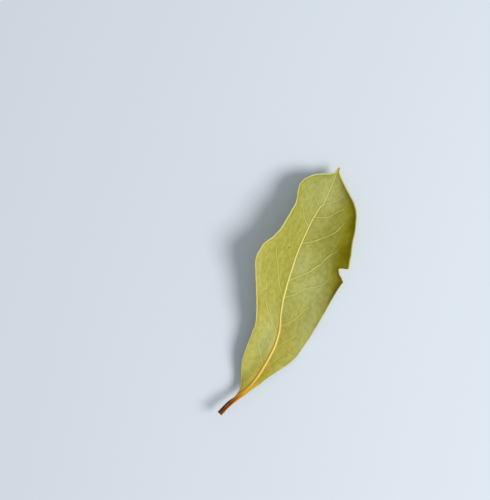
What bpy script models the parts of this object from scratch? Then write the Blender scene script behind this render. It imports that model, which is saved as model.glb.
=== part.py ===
"""Dried bay leaf: one thin blade with its midrib, side veins and cut stalk, grown as one piece.

The leaf lies face up on a level surface, cupped like a shallow trough. Y runs along it from the
stalk to the tip, X to the right seen from above, and Z up. The surface it lies on is Z = 0, and
the origin is the middle of the leaf's box on that surface. Every table below is in millimetres,
measured from the middle of the stalk's cut end; the mesh is made in metres.

The blade is a sheet laid out by cross lines. A cross line leaves the midrib at a place along it
and sweeps forward to the edge, as the side veins do. A point on the sheet is named by the place
where its cross line leaves the midrib (line) and by its share of the way to the edge (side),
from -1 at the left edge through 0 on the midrib to 1 at the right edge.
"""
import bmesh
import bpy
import numpy as np

MM = 0.001

# Middle of the leaf's box, counted from the stalk's cut end.
BOX_MIDDLE_X = 2.7
BOX_MIDDLE_Y = 42.9

# The midrib seen from above: (place along the leaf, place across it).
MIDRIB_ACROSS = [(0.0, 0.05), (4.4, 1.6), (9.8, 4.05), (12.8, 5.2), (16.7, 6.0), (21.7, 6.45), (25.3, 6.58),
                 (30.6, 5.92), (36.7, 3.7), (42.7, 2.0), (50.7, 0.7), (58.1, -0.3), (66.3, -0.45),
                 (72.4, 0.0), (74.0, 0.5), (78.7, 0.3), (84.4, -0.05), (86.0, 0.0)]
# Height of the blade's middle plane at the midrib: (place along, height).
MIDRIB_HEIGHT = [(0.0, 5.4), (8.0, 4.1), (16.0, 2.9), (25.0, 1.8), (33.0, 1.0), (41.0, 0.69), (46.0, 0.68),
                 (56.0, 0.68), (62.0, 0.8), (70.0, 1.5), (78.0, 2.9), (86.0, 5.0)]

# The two edges seen from above: (place along, place across).
LEFT_EDGE = [(0.0, -0.85), (4.4, 0.7), (7.4, 2.2), (9.5, 2.4), (12.3, 1.45), (15.5, 0.0), (18.5, -1.1),
             (24.3, -1.8), (30.2, -2.4), (34.1, -3.8), (37.7, -5.5), (42.0, -7.8), (45.8, -9.9),
             (48.3, -11.1), (50.8, -11.5), (53.4, -11.3), (57.9, -9.3), (61.1, -8.4), (67.0, -7.9),
             (69.6, -7.8), (74.0, -8.7), (75.8, -9.0), (77.2, -8.7), (79.5, -7.2), (81.0, -5.7),
             (82.1, -3.9), (83.2, -2.0), (84.7, -0.7), (86.0, -0.4)]
RIGHT_EDGE = [(0.0, 0.95), (3.4, 2.0), (6.3, 3.4), (9.3, 5.0), (11.8, 6.2), (14.0, 7.4), (17.8, 9.4),
              (21.2, 11.5), (25.2, 13.5), (28.5, 14.4), (34.4, 15.2), (41.6, 15.8), (50.3, 16.4),
              (56.5, 17.0), (61.0, 15.9), (67.2, 14.1), (70.0, 13.4), (75.2, 11.4), (78.0, 9.2),
              (80.3, 6.4), (82.5, 3.5), (84.0, 1.7), (85.0, 0.75), (86.0, 0.4)]
# Height of each edge over the midrib beside it: (place along, rise).
LEFT_RISE = [(0.0, 0.0), (7.4, -0.2), (12.0, -0.4), (16.0, 0.7), (21.5, 3.0), (30.0, 6.5), (38.0, 9.0),
             (47.0, 11.2), (58.0, 12.7), (67.0, 12.0), (73.0, 9.0), (77.0, 6.4), (81.0, 4.6),
             (83.5, 2.4), (86.0, 0.2)]
RIGHT_RISE = [(0.0, 0.0), (7.0, -0.1), (12.0, -0.4), (17.0, -0.8), (22.0, -1.1), (28.0, -0.8), (34.0, 0.0),
              (40.0, 0.7), (47.0, 2.0), (54.0, 4.2), (60.0, 5.9), (65.0, 6.1), (70.0, 5.4), (77.0, 3.7),
              (81.0, 2.5), (83.5, 1.2), (86.0, 0.1)]
# How each half bends on its way up: a power of the share of the way to the edge.
LEFT_BEND = 1.25
RIGHT_BEND = [(0.0, 1.6), (28.0, 1.8), (36.0, 2.3), (44.0, 2.8), (52.0, 2.5), (60.0, 2.0), (70.0, 2.0),
              (77.0, 2.3), (82.0, 1.8), (86.0, 1.2)]
# Share of the right edge's rise that is a curl of its outer strip.
RIGHT_CURL = [(0.0, 0.0), (34.0, 0.0), (42.0, 0.6), (52.0, 0.6), (62.0, 0.5), (74.0, 0.45), (82.0, 0.2),
              (86.0, 0.0)]
CURL_POWER = 8.0
CREASE_ROUNDING = 0.7

# The right half sags until its belly touches the surface beside the midrib.
BELLY_DEPTH = 0.72
BELLY_ALONG = 48.0
BELLY_LENGTH = 14.0
BELLY_SIDE = 0.5
BELLY_SPREAD = 0.34

# Waves along both edges.
WAVE_HEIGHT = 0.4
WAVE_POWER = 3.0
LEFT_WAVE_LENGTH = 15.5
RIGHT_WAVE_LENGTH = 12.5
LEFT_WAVE_FROM = 0.0
RIGHT_WAVE_FROM = 47.0
WAVE_START = 12.0
WAVE_END = 80.0

# How far forward of its start a cross line meets the edge: (start on the midrib, lean).
LEFT_LEAN = [(0.0, 0.0), (6.0, 0.0), (20.0, 14.0), (30.6, 25.0), (35.0, 25.0), (40.5, 24.0),
             (51.5, 19.5), (65.5, 8.5), (75.0, 6.5), (86.0, 0.0)]
RIGHT_LEAN = [(0.0, 0.0), (6.0, 0.0), (16.0, 7.0), (25.6, 14.0), (33.0, 17.0), (42.0, 17.0),
              (47.4, 21.0), (59.6, 17.7), (69.0, 12.6), (75.0, 8.5), (86.0, 0.0)]
# A cross line's lean grows by a power of its share of the way out, until it turns square to the edge.
LEFT_ARCH = [(0.0, 1.35), (20.0, 1.7), (30.6, 2.5), (39.0, 1.35), (86.0, 1.35)]
RIGHT_ARCH = [(0.0, 1.35), (86.0, 1.35)]
ARCH_TURN = 0.7
STALK_CUT_SLANT = 0.22
STALK_LENGTH = 7.4

# Side veins: (start on the midrib, share of the way to the edge where it fades out).
LEFT_VEINS = [(19.9, 0.55), (30.6, 0.8), (40.4, 0.8), (51.5, 0.8), (65.6, 0.65), (75.2, 0.5)]
RIGHT_VEINS = [(25.6, 0.82), (32.9, 0.8), (41.9, 0.85), (47.4, 0.85), (59.6, 0.8), (68.9, 0.75), (73.3, 0.7)]
VEIN_HEIGHT = 0.16
VEIN_HALF_WIDTH = 0.32
VEIN_FADE = 0.3
VEIN_UNDERSIDE_SHARE = 0.5
# The blade swells a little between one side vein and the next.
PANEL_SWELL = 0.12
PANEL_POWER = 1.5

# Half thickness of the blade, thinner where it runs down the stalk.
BLADE_HALF = [(0.0, 0.12), (6.0, 0.16), (10.0, 0.33), (86.0, 0.33)]
# Midrib and stalk: half width of the ridge, its top over and its keel below the middle plane.
RIB_HALF_WIDTH = [(0.0, 0.86), (6.0, 0.8), (10.0, 0.64), (16.0, 0.56), (25.0, 0.5), (40.0, 0.42),
                  (55.0, 0.34), (70.0, 0.27), (80.0, 0.22), (86.0, 0.2)]
RIB_TOP = [(0.0, 0.74), (7.0, 0.7), (12.0, 0.64), (20.0, 0.58), (40.0, 0.54), (60.0, 0.5), (75.0, 0.45),
           (86.0, 0.4)]
KEEL_DEPTH = [(0.0, 0.8), (7.0, 0.8), (14.0, 0.77), (25.0, 0.74), (60.0, 0.74), (75.0, 0.56), (86.0, 0.4)]
KEEL_WIDER = 0.25

# The torn notch in the right edge: (place along, depth).
NOTCH = [(54.3, 0.0), (55.2, 0.95), (56.1, 2.1), (56.8, 2.6), (57.5, 2.8), (57.95, 2.1), (58.7, 0.0)]
NOTCH_REACH = 0.35

# Mesh spacing.
LARGEST_STEP = 1.35
TIP_STEP = 0.8
TIP_STRETCH = 78.0
INNER_COLUMNS = [0.0, 0.33, 0.68, 1.0, 1.45]
OUTER_COLUMNS = [0.14, 0.28, 0.42, 0.56, 0.68, 0.79, 0.9, 1.0]
INNER_SHARE_LIMIT = 0.6
VEIN_FLANK = 0.45
RULER_POINTS = 400
NUDGE = 0.01
SHARP_ANGLE = 50

LEAF_COLOUR = (0.40, 0.38, 0.10, 1.0)
LEAF_ROUGHNESS = 0.62


def curve(at, stations):
    """Smooth curve through the stations that never swings past them.

    Each piece is a cubic. The slope at a station is the harmonic mean of the slopes to its
    neighbours, weighted by their distances, and nothing where the values turn back.
    """
    places, values = np.array(stations).T
    gaps = np.diff(places)
    secants = np.diff(values) / gaps
    same_way = secants[:-1] * secants[1:] > 0
    before = 2 * gaps[1:] + gaps[:-1]
    after = gaps[1:] + 2 * gaps[:-1]
    safe = np.where(secants == 0, 1.0, secants)
    mean = (before + after) / (before / safe[:-1] + after / safe[1:])
    slopes = np.concatenate([secants[:1], np.where(same_way, mean, 0.0), secants[-1:]])
    at = np.clip(at, places[0], places[-1])
    piece = np.clip(np.searchsorted(places, at) - 1, 0, len(places) - 2)
    width = gaps[piece]
    s = (at - places[piece]) / width
    start = (1 + 2 * s) * (1 - s) ** 2 * values[piece] + s * (1 - s) ** 2 * width * slopes[piece]
    end = s * s * (3 - 2 * s) * values[piece + 1] - s * s * (1 - s) * width * slopes[piece + 1]
    return start + end


def ease(value, low, high):
    """0 below low, 1 above high, and a smooth step between them."""
    s = np.clip((value - low) / (high - low), 0.0, 1.0)
    return s * s * (3 - 2 * s)


def place_along(line, side):
    """Place along the leaf of a point: its cross line's start plus its lean, with the arch of a vein.

    The arch is a power of the reach up to the turn, and from there its slope falls evenly to
    nothing at the edge. On the stalk the cross lines slant with the cut end.
    """
    reach = np.abs(side)
    left = side < 0
    lean = np.where(left, curve(line, LEFT_LEAN), curve(line, RIGHT_LEAN))
    power = np.where(left, curve(line, LEFT_ARCH), curve(line, RIGHT_ARCH))
    past = np.maximum(reach - ARCH_TURN, 0.0)
    slope_at_turn = power * ARCH_TURN ** (power - 1)
    arch = np.minimum(reach, ARCH_TURN) ** power
    arch = arch + slope_at_turn * (past - past ** 2 / (2 * (1 - ARCH_TURN)))
    cut = STALK_CUT_SLANT * side * (1 - ease(line, 0.0, STALK_LENGTH))
    return line + lean * arch - cut


def trimmed_reach(along, side, width):
    """Share of the way to the whole edge, with the outer part pulled in where the notch is torn out."""
    reach = np.abs(side)
    places, depths = np.array(NOTCH).T
    torn = np.where(side > 0, np.interp(along, places, depths), 0.0) / width
    return reach - torn * ease(reach, 1 - NOTCH_REACH, 1.0)


def panel_swell(line, side):
    """1 halfway between two side veins and 0 on them, fading out at the midrib and at the edge."""
    reach = np.abs(side)
    left_starts = [start for start, fade in LEFT_VEINS]
    right_starts = [start for start, fade in RIGHT_VEINS]
    left_count = np.interp(line, left_starts, range(len(left_starts)))
    right_count = np.interp(line, right_starts, range(len(right_starts)))
    count = np.where(side < 0, left_count, right_count)
    return np.sin(np.pi * count) ** 2 * np.sin(np.pi * np.clip(reach, 0, 1)) ** PANEL_POWER


def sheet(line, side):
    """Middle plane of the blade as x, y, z: the two halves rise from the midrib to their edges.

    The left half rises by a power of the way out. The right half rises by a slowly growing power,
    with a curl of its outer strip, and sags to a belly in the middle of the leaf.
    """
    along = place_along(line, side)
    left = side < 0
    rib_x = curve(along, MIDRIB_ACROSS)
    edge_x = np.where(left, curve(along, LEFT_EDGE), curve(along, RIGHT_EDGE))
    width = np.abs(edge_x - rib_x)
    reach = trimmed_reach(along, side, width)
    across = rib_x + (edge_x - rib_x) * reach
    crease = CREASE_ROUNDING / width
    bent = np.sqrt(reach ** 2 + crease ** 2) - crease
    left_lift = curve(along, LEFT_RISE) * bent ** LEFT_BEND
    curl = curve(along, RIGHT_CURL)
    right_shape = (1 - curl) * bent ** curve(along, RIGHT_BEND) + curl * bent ** CURL_POWER
    right_lift = curve(along, RIGHT_RISE) * right_shape
    sag = np.exp(-((along - BELLY_ALONG) / BELLY_LENGTH) ** 2 - ((reach - BELLY_SIDE) / BELLY_SPREAD) ** 2)
    sag = BELLY_DEPTH * sag * ease(reach, 0.0, BELLY_SIDE)
    left_waves = (along - LEFT_WAVE_FROM) / LEFT_WAVE_LENGTH
    right_waves = (along - RIGHT_WAVE_FROM) / RIGHT_WAVE_LENGTH
    wave = WAVE_HEIGHT * reach ** WAVE_POWER * np.sin(2 * np.pi * np.where(left, left_waves, right_waves))
    wave = wave * ease(along, WAVE_START, 2 * WAVE_START) * (1 - ease(along, WAVE_END - WAVE_START, WAVE_END))
    height = curve(along, MIDRIB_HEIGHT) + np.where(left, left_lift, right_lift - sag) + wave
    height = height + PANEL_SWELL * panel_swell(line, side)
    return np.stack([across, along, height], axis=-1)


def directions(line, side):
    """Run of the sheet along and across the leaf at each point, and its unit normal."""
    run_along = (sheet(line + NUDGE, side) - sheet(line - NUDGE, side)) / (2 * NUDGE)
    run_out = (sheet(line, side + NUDGE) - sheet(line, side - NUDGE)) / (2 * NUDGE)
    normal = np.cross(run_out, run_along)
    normal = normal / np.linalg.norm(normal, axis=-1, keepdims=True)
    return run_along, run_out, normal


def vein_ridges(line, side, run_along, run_out):
    """Height of the side veins: a bell across each vein, fading out along it before the edge.

    Its width is measured square to the vein, so it stays the same where the cross lines spread.
    """
    reach = np.abs(side)
    square_on = np.linalg.norm(np.cross(run_along, run_out), axis=-1) / np.linalg.norm(run_out, axis=-1)
    ridge = np.zeros_like(line)
    for veins, on_half in ((LEFT_VEINS, side < 0), (RIGHT_VEINS, side > 0)):
        for start, fade_out in veins:
            off = (line - start) * square_on / VEIN_HALF_WIDTH
            strength = 1 - ease(reach, fade_out - VEIN_FADE, fade_out)
            ridge = np.maximum(ridge, on_half * strength * np.exp(-off ** 2))
    return VEIN_HEIGHT * ridge


def off_midrib(points):
    """Distance of each point from the midrib, square to it and seen from above."""
    along = points[..., 1]
    rib_x = curve(along, MIDRIB_ACROSS)
    rib_slope = (curve(along + NUDGE, MIDRIB_ACROSS) - curve(along - NUDGE, MIDRIB_ACROSS)) / (2 * NUDGE)
    return np.abs(points[..., 0] - rib_x) / np.sqrt(1 + rib_slope ** 2)


def leaf_faces(line, side):
    """Upper and lower face of the leaf: the sheet moved both ways along its normal."""
    middle = sheet(line, side)
    run_along, run_out, normal = directions(line, side)
    along = middle[..., 1]
    off = off_midrib(middle)
    rib_width = curve(along, RIB_HALF_WIDTH)
    half = curve(along, BLADE_HALF)
    rib_round = np.sqrt(1 - np.clip(off / rib_width, 0, 1) ** 2)
    keel_round = np.sqrt(1 - np.clip(off / (rib_width + KEEL_WIDER), 0, 1) ** 4)
    veins = vein_ridges(line, side, run_along, run_out)
    above = half + (curve(along, RIB_TOP) - half) * rib_round + veins * (1 - rib_round)
    below = half + (curve(along, KEEL_DEPTH) - half) * keel_round
    below = below + VEIN_UNDERSIDE_SHARE * veins * (1 - keel_round)
    upper = middle + normal * above[..., None]
    lower = middle - normal * below[..., None]
    lower[..., 2] = np.maximum(lower[..., 2], 0.0)
    return upper, lower


def cross_lines():
    """Starts of the cross lines: on each side vein and both its flanks, at the notch, and between."""
    starts = [0.0, STALK_LENGTH, MIDRIB_ACROSS[-1][0]]
    for start, fade_out in LEFT_VEINS + RIGHT_VEINS:
        starts += [start - VEIN_FLANK, start, start + VEIN_FLANK]
    ruler = np.linspace(0.0, MIDRIB_ACROSS[-1][0], RULER_POINTS)
    meets_edge = place_along(ruler, np.ones_like(ruler))
    starts += [float(np.interp(place, meets_edge, ruler)) for place, depth in NOTCH]
    starts = sorted(starts)
    lines = [starts[0]]
    for start, end in zip(starts, starts[1:]):
        step = TIP_STEP if start > TIP_STRETCH else LARGEST_STEP
        count = int(np.ceil((end - start) / step))
        lines += list(np.linspace(start, end, count + 1)[1:])
    return np.array(lines)


def columns(lines):
    """Shares of the way out for each cross line: close together on the midrib, wider on the blade."""
    shares = []
    for edge in (LEFT_EDGE, RIGHT_EDGE):
        width = np.abs(curve(lines, edge) - curve(lines, MIDRIB_ACROSS))
        keel = curve(lines, RIB_HALF_WIDTH) + KEEL_WIDER
        inner_end = np.minimum(INNER_COLUMNS[-1] * keel / width, INNER_SHARE_LIMIT)
        inner = inner_end[:, None] * np.array(INNER_COLUMNS) / INNER_COLUMNS[-1]
        outer = inner_end[:, None] + (1 - inner_end[:, None]) * np.array(OUTER_COLUMNS)
        shares.append(np.concatenate([inner, outer], axis=1))
    left, right = shares
    return np.concatenate([-left[:, :0:-1], right], axis=1)


def place(vertices, points):
    """Moves a grid's vertices to the points of the same row and column, in metres about the origin."""
    origin = np.array([BOX_MIDDLE_X, BOX_MIDDLE_Y, 0.0])
    for vertex, point in zip(vertices, points.reshape(-1, 3)):
        vertex.co = (point - origin) * MM


def build_leaf():
    """One closed solid: a grid for the upper face, its copy for the lower face, and a rim between."""
    lines = cross_lines()
    side = columns(lines)
    line = np.repeat(lines[:, None], side.shape[1], axis=1)
    upper, lower = leaf_faces(line, side)
    rows, across = line.shape
    mesh_data = bmesh.new()
    bmesh.ops.create_grid(mesh_data, x_segments=across - 1, y_segments=rows - 1, size=1.0)
    grid = sorted(mesh_data.verts, key=lambda vertex: (round(vertex.co.y, 5), round(vertex.co.x, 5)))
    place(grid, sheet(line, side))
    bmesh.ops.triangulate(mesh_data, faces=mesh_data.faces[:], quad_method="BEAUTY")
    copied = bmesh.ops.duplicate(mesh_data, geom=mesh_data.verts[:] + mesh_data.edges[:] + mesh_data.faces[:])
    under = [copied["vert_map"][vertex] for vertex in grid]
    under_faces = [item for item in copied["geom"] if isinstance(item, bmesh.types.BMFace)]
    bmesh.ops.reverse_faces(mesh_data, faces=under_faces)
    place(grid, upper)
    place(under, lower)
    border = [edge for edge in mesh_data.edges if edge.is_boundary]
    rim = bmesh.ops.bridge_loops(mesh_data, edges=border)
    bmesh.ops.triangulate(mesh_data, faces=rim["faces"])
    bmesh.ops.recalc_face_normals(mesh_data, faces=mesh_data.faces[:])
    mesh = bpy.data.meshes.new("bay_leaf")
    mesh_data.to_mesh(mesh)
    mesh_data.free()
    mesh.shade_smooth()
    mesh.set_sharp_from_angle(angle=np.radians(SHARP_ANGLE))
    leaf = bpy.data.objects.new("bay_leaf", mesh)
    bpy.context.scene.collection.objects.link(leaf)
    return leaf


def leaf_material():
    """Olive dried leaf, with hardly any shine."""
    material = bpy.data.materials.new("leaf")
    material.use_nodes = True
    shader = material.node_tree.nodes["Principled BSDF"]
    shader.inputs["Base Color"].default_value = LEAF_COLOUR
    shader.inputs["Roughness"].default_value = LEAF_ROUGHNESS
    shader.inputs["Metallic"].default_value = 0.0
    return material


def main():
    """Clears the scene and builds the leaf."""
    for old in list(bpy.data.objects):
        bpy.data.objects.remove(old, do_unlink=True)
    leaf = build_leaf()
    leaf.data.materials.append(leaf_material())


main()
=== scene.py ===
"""Dried bay leaf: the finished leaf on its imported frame, with its material, light and camera.

The leaf is one closed skin worked out with numpy. Every table is in millimetres, measured from the
middle of the stalk's cut end, with Y along the leaf to the tip, X to the right and Z up. A point on
the leaf is named by the place on the midrib where its cross line starts (line) and by its share of
the way to the edge (side), from -1 at the left edge through 0 on the midrib to 1 at the right edge.
"""

import bpy
import numpy as np
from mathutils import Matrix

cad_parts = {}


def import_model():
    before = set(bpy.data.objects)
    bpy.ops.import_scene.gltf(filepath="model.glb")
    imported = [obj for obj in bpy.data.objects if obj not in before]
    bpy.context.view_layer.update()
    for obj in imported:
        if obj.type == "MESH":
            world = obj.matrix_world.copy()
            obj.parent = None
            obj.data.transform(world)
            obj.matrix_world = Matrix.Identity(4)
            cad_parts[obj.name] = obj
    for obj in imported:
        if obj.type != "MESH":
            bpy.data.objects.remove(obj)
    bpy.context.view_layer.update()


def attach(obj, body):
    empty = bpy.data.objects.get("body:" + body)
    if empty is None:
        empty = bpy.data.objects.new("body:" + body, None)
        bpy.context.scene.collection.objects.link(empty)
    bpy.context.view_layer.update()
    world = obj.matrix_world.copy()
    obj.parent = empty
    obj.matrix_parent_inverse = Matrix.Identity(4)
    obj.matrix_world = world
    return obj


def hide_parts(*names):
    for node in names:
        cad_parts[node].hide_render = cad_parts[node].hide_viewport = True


MM = 0.001

# Middle of the leaf's box, counted from the stalk's cut end.
BOX_MIDDLE_X = 2.7
BOX_MIDDLE_Y = 42.9
LEAF_LENGTH = 86.0
STALK_LENGTH = 7.4

# The midrib seen from above: (place along the leaf, place across it).
MIDRIB_ACROSS = [
    (0, 0.05), (4.4, 1.6), (9.8, 4.05), (12.8, 5.2), (16.7, 6), (21.7, 6.45), (25.3, 6.58),
    (30.6, 5.92), (36.7, 3.7), (42.7, 2), (50.7, 0.65), (58.1, -0.22), (66.3, -0.45), (72.4, 0),
    (74, 0.5), (78.7, 0.3), (84.4, -0.05), (86, 0)]
# Height of the blade's middle plane at the midrib: (place along, height).
MIDRIB_HEIGHT = [
    (0, 5.4), (8, 4.1), (16, 2.9), (25, 1.8), (33, 1), (41, 0.69), (46, 0.68), (56, 0.68), (62, 0.8),
    (70, 1.5), (78, 2.9), (86, 5)]

# The two edges seen from above: (place along, place across).
LEFT_EDGE = [
    (0, -0.85), (4.4, 0.7), (7.4, 2.2), (9.5, 2.4), (12.3, 1.45), (15.5, 0), (18.5, -1.1), (24.3, -1.8),
    (30.2, -2.4), (34.1, -3.8), (37.7, -5.5), (42, -7.8), (45.8, -9.9), (48.3, -11.1), (50.8, -11.5),
    (53.4, -11.3), (57.9, -9.3), (61.1, -8.4), (67, -7.9), (69.6, -7.8), (74, -8.75), (75.8, -9.1),
    (77.2, -8.85), (79.5, -7.4), (81, -5.9), (82.1, -4.1), (83.2, -2.1), (84.7, -0.7), (86, -0.4)]
RIGHT_EDGE = [
    (0, 0.95), (3.4, 2), (6.3, 3.4), (9.3, 5.15), (11.8, 6.4), (14, 7.6), (17.8, 9.6), (21.2, 11.7),
    (25.2, 13.7), (28.5, 14.6), (34.4, 15.4), (41.6, 16), (50.3, 16.45), (56.5, 17), (61, 15.9),
    (67.2, 14.1), (70, 13.4), (75.2, 11.4), (78, 9.2), (80.3, 6.25), (82.5, 3.4), (84, 1.65),
    (85, 0.75), (86, 0.4)]
# Height of each edge over the midrib beside it: (place along, rise).
LEFT_RISE = [
    (0, 0), (7.4, -0.2), (12, -0.4), (16, 0.7), (21.5, 3), (30, 6.5), (38, 9), (47, 11.2), (58, 12.7),
    (67, 12), (73, 9), (77, 6.4), (81, 4.6), (83.5, 2.4), (86, 0.2)]
RIGHT_RISE = [
    (0, 0), (7, -0.1), (12, -0.4), (17, -0.8), (22, -1.1), (28, -0.8), (34, 0), (40, 0.7), (47, 2),
    (54, 4.2), (60, 5.9), (65, 6.1), (70, 5.4), (77, 3.7), (81, 2.5), (83.5, 1.2), (86, 0.1)]
# How each half bends on its way up: a power of the share of the way to the edge.
LEFT_BEND = 1.25
RIGHT_BEND = [
    (0, 1.6), (28, 1.8), (36, 2.3), (44, 2.8), (52, 2.5), (60, 2), (70, 2), (77, 2.3), (82, 1.8),
    (86, 1.2)]
# Share of the right edge's rise that is a curl of its outer strip.
RIGHT_CURL = [(0, 0), (34, 0), (42, 0.6), (52, 0.6), (62, 0.5), (74, 0.45), (82, 0.2), (86, 0)]
CURL_POWER = 8.0
CREASE_ROUNDING = 0.7

# The right half sags until its belly touches the surface beside the midrib.
BELLY_DEPTH = 0.72
BELLY_ALONG = 48.0
BELLY_LENGTH = 14.0
BELLY_SIDE = 0.5
BELLY_SPREAD = 0.34

# Waves along both edges.
WAVE_HEIGHT = 0.4
WAVE_POWER = 3.0
LEFT_WAVE_LENGTH = 15.5
RIGHT_WAVE_LENGTH = 12.5
LEFT_WAVE_FROM = 0.0
RIGHT_WAVE_FROM = 47.0
WAVE_START = 12.0
WAVE_END = 80.0

# How far forward of its start a cross line meets the edge: (start on the midrib, lean).
LEFT_LEAN = [
    (0, 0), (6, 0), (20, 14), (30.6, 25), (35, 25), (40.5, 24), (51.5, 19.5), (65.5, 8.5), (75, 6.5),
    (86, 0)]
RIGHT_LEAN = [
    (0, 0), (6, 0), (16, 7), (25.6, 14), (33, 17), (42, 17), (47.4, 21), (59.6, 17.7), (69, 12.6),
    (75, 8.5), (86, 0)]
# A cross line's lean grows by a power of its share of the way out, until it turns square to the edge.
LEFT_ARCH = [(0, 1.35), (20, 1.7), (30.6, 2.5), (39, 1.35), (86, 1.35)]
RIGHT_ARCH = [(0, 1.35), (86, 1.35)]
ARCH_TURN = 0.7
STALK_CUT_SLANT = 0.22

# Side veins: boldness, and the spots that each runs through, as (place across, place along).
LEFT_VEINS = [
    (0.5, [(6.2, 18.6), (4.9, 20.2), (3.9, 21.7), (2.7, 23.2), (1.5, 24.7), (0.5, 26.4), (0.5, 28.4)]),
    (1, [(6.3, 29), (5.2, 30), (4.5, 31), (3.6, 31.9), (2.5, 32.7), (1.5, 33.5), (0.6, 34.6),
     (-0.9, 36), (-2.3, 37.8), (-3.6, 40.6), (-5.2, 43.8), (-6.6, 46.4), (-8.4, 49.8), (-9.6, 53)]),
    (0.9, [(2.6, 40.5), (1.5, 41.8), (0.7, 42.9), (-0.7, 44.5), (-2.2, 46.8), (-3.6, 49.3),
     (-5.2, 51.6), (-6.3, 53.3), (-7, 54.8), (-7.4, 57)]),
    (0.5, [(0.5, 51.7), (-1.2, 53.6), (-2.6, 55.6), (-3.8, 57.5), (-4.8, 60), (-5.5, 62.2),
     (-6.2, 63.8), (-6.7, 65.6)]),
    (0.8, [(-0.4, 65), (-1.2, 65.7), (-2, 66.2), (-2.9, 67), (-3.8, 67.9), (-4.5, 69.1), (-5.1, 70.5),
     (-5.8, 72.4)]),
    (0.5, [(0, 72.3), (-1.2, 73.2), (-2.3, 74), (-3.4, 75.2), (-4.2, 76.6), (-4.7, 78)]),
    (0.3, [(0.3, 78.2), (-0.9, 79), (-1.8, 80), (-2.4, 81)])]
RIGHT_VEINS = [
    (0.35, [(6.1, 18.8), (7.4, 20.6), (8.6, 22.8), (9.6, 25.2)]),
    (0.45, [(6.6, 25.4), (7.6, 27), (8.5, 28.5), (9.5, 30.1), (10.5, 31.8), (11.3, 33.2), (12.2, 35)]),
    (0.6, [(5.3, 32.6), (6.2, 33.8), (7.1, 35), (8.2, 36.3), (8.8, 37.6), (9.3, 39.1), (9.9, 40.5),
     (10.9, 42.1), (11.7, 43.6)]),
    (0.75, [(2.6, 41.8), (3.8, 42.9), (5, 44), (6, 45.5), (7, 46.9), (8.4, 48.1), (9.8, 49), (11, 50.2),
     (12.3, 51.8), (13.1, 53.4)]),
    (1, [(1.3, 47), (2.4, 48.5), (3.7, 49.9), (5, 51.3), (6, 52.5), (6.8, 54), (7.5, 55.3), (8.3, 56.4),
     (8.6, 57.7), (9.1, 59), (9.8, 60.3), (10.6, 61.4), (11.2, 62.6), (11.8, 64)]),
    (1, [(-0.4, 59.3), (1.5, 60.7), (2.7, 61.6), (4, 62.8), (5.2, 64.2), (6.3, 65.3), (7.1, 66.3),
     (7.9, 67.4), (8.3, 68.6), (8.8, 70), (9.3, 71.4), (9.8, 73)]),
    (0.9, [(-0.3, 68.8), (1.2, 69.4), (2.4, 69.9), (3.5, 70.6), (4.4, 71.7), (5.2, 72.8), (6, 74),
     (6.8, 75.1), (7.5, 76.2)]),
    (0.45, [(0.2, 73.2), (1.5, 74.3), (2.5, 75.2), (3.6, 76.2), (4.5, 77.4), (5, 78.6), (5.1, 79.8)]),
    (0.35, [(0.3, 78.4), (1.4, 78.8), (2.4, 79.4), (3.1, 80.4)])]
# Spots to each stretch of a vein's path, and the share of its length over which it fades out.
VEIN_STEPS = 5
VEIN_FADE = 0.3
VEIN_HALF_WIDTH = 0.16
VEIN_HEIGHT = 0.17
UNDERSIDE_VEINS = 1.6
# A vein's boldness is told in full this near to it and not at all from its reach on.
VEIN_NEAR = 1.0
VEIN_REACH = 2.0
FAR_OFF = 9.0
# A vein wobbles square to its run: how far, the length of a wobble, and where it sets in and is full.
VEIN_WOBBLE = 0.07
WOBBLE_LENGTH = 1.4
WOBBLE_START = (0.3, 2.0)
# Its boldness swells and sinks on the way: middle, swing and number of swells.
LIFE_MIDDLE = 0.78
LIFE_SWING = 0.22
LIFE_SWELLS = 12
# First seeds of the wobbles and of the swells, for the left and the right half.
VEIN_SEEDS = [(100, 150), (200, 250)]
# Fainter veins: one between each two side veins, and cross links that lead from vein to vein. The pairs
# are ranges of seeded draws.
THIN_VEIN_SEED = 7
THIN_VEIN_SHARE = 0.3
BETWEEN_SPOTS = 16
BETWEEN_BOLDNESS = 0.4
BETWEEN_LENGTH = (0.48, 0.72)
LINK_SPOTS = 6
LINK_GAP = 2.3
LINK_SHIFT = (-0.46, 0.46)
LINK_LEAN = (0.032, 0.192)
LINK_BOW = (-0.12, 0.192)
LINK_WANDER = (-0.06, 0.06)
LINK_BOLDNESS = (0.2, 0.5)
# The blade swells between its side veins: height, and distance from a vein where it is well up.
PANEL_SWELL = 0.16
PANEL_SPREAD = 1.6
PANEL_POWER = 1.5

# Half thickness of the dried blade, and of the slightly thicker cord along its edge.
BLADE_HALF = [(0, 0.03), (6, 0.06), (10, 0.15), (30, 0.17), (86, 0.16)]
EDGE_CORD_HALF = 0.04
EDGE_CORD_WIDTH = 0.35
# The pale line along each edge, seen from above: its width, and on the left edge its boldness. On the
# right edge it sets in between two places along the leaf.
LEFT_LINE_WIDTH = 0.29
RIGHT_LINE_WIDTH = 0.38
LEFT_LINE_BOLDNESS = 0.9
RIGHT_LINE_START = (57.0, 59.5)
# Its boldness swells and sinks too: middle, swing, length of a swell and seed.
LINE_LIFE_MIDDLE = 0.85
LINE_LIFE_SWING = 0.25
LINE_LIFE_LENGTH = 1.6
LINE_LIFE_SEED = 23
# The edge is a little uneven: (length of an unevenness, depth, seed).
EDGE_UNEVEN = [(2.6, 0.09, 21), (0.9, 0.04, 22)]
# How far from the middle each edge reads the random heights, so that the two edges differ.
LINE_LIFE_APART = 7.0
UNEVEN_APART = 9.0
RIM_ROUNDING = 0.2
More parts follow.
